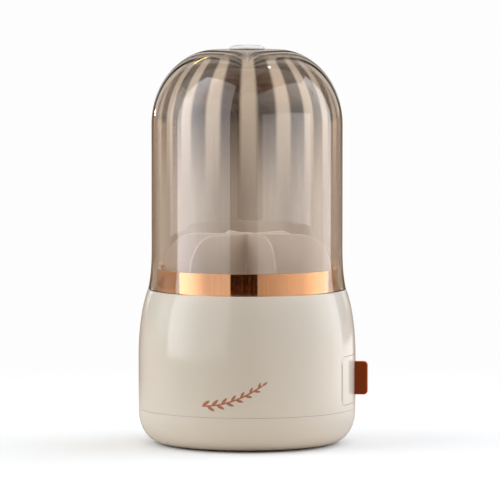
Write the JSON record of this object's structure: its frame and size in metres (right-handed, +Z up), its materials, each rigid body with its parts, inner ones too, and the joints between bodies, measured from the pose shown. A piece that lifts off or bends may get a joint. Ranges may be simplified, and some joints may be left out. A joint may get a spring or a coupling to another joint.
{
  "type": "rotating cosmetics organizer",
  "caption": "Round turntable cosmetics organizer with a pull-out drawer, a divided cup and a clear lift-off dome over it.",
  "frame": {"origin": "on the axis of rotation, in the plane of the table that the foot ring rests on", "axes": "+Z up along the axis of rotation, +X towards the drawer front and its pull tab, picture seen along +Y"},
  "size_m": [0.1568, 0.148, 0.2714],
  "materials": {
    "ivory_shell": "glossy warm ivory moulded plastic",
    "inner_plastic": "satin white moulded plastic",
    "track_plastic": "grey self-lubricating plastic",
    "screw_steel": "bright steel",
    "foot_rubber": "soft matt rubber",
    "terracotta_tab": "terracotta brown soft plastic",
    "rose_gold": "mirror rose-gold metallised plastic",
    "smoky_clear": "clear smoky acrylic with a polished surface",
    "frosted_cap": "pale translucent plastic"
  },
  "bodies": {
    "base": {"base_dish": "ivory_shell", "foot_ring": "foot_rubber", "lower_track": "track_plastic", "lower_track_screws": "screw_steel", "pivot_washer": "screw_steel", "pivot_screw": "screw_steel"},
    "cage": {"ball_cage": "inner_plastic", "bearing_balls": "screw_steel"},
    "turntable": {"upper_track": "track_plastic", "upper_track_screws": "screw_steel", "turntable_plate": "inner_plastic", "body_shell": "ivory_shell", "shell_screws": "screw_steel", "drawer_bay": "inner_plastic", "bay_screws": "screw_steel", "divider_cup": "inner_plastic", "divider_insert": "inner_plastic", "collar_ring": "rose_gold"},
    "drawer": {"drawer_tray": "inner_plastic", "drawer_front": "ivory_shell", "front_screws": "screw_steel", "pull_tab": "terracotta_tab"},
    "dome": {"dome": "smoky_clear", "dome_cap": "frosted_cap"}
  },
  "joints": [
    {"name": "turntable_spin", "type": "hinge", "parent": "base", "child": "turntable", "pos_m": [0, 0, 0.02], "axis": [0, 0, 1], "continuous": true},
    {"name": "cage_spin", "type": "hinge", "parent": "base", "child": "cage", "pos_m": [0, 0, 0.02], "axis": [0, 0, 1], "continuous": true},
    {"name": "drawer_slide", "type": "slide", "parent": "turntable", "child": "drawer", "axis": [1, 0, 0], "range_m": [0, 0.075]},
    {"name": "dome_lift", "type": "slide", "parent": "turntable", "child": "dome", "axis": [0, 0, 1], "range_m": [0, 0.17]}
  ],
  "couplings": [
    {"joint": "cage_spin", "follows": "turntable_spin", "ratio": 0.5}
  ]
}
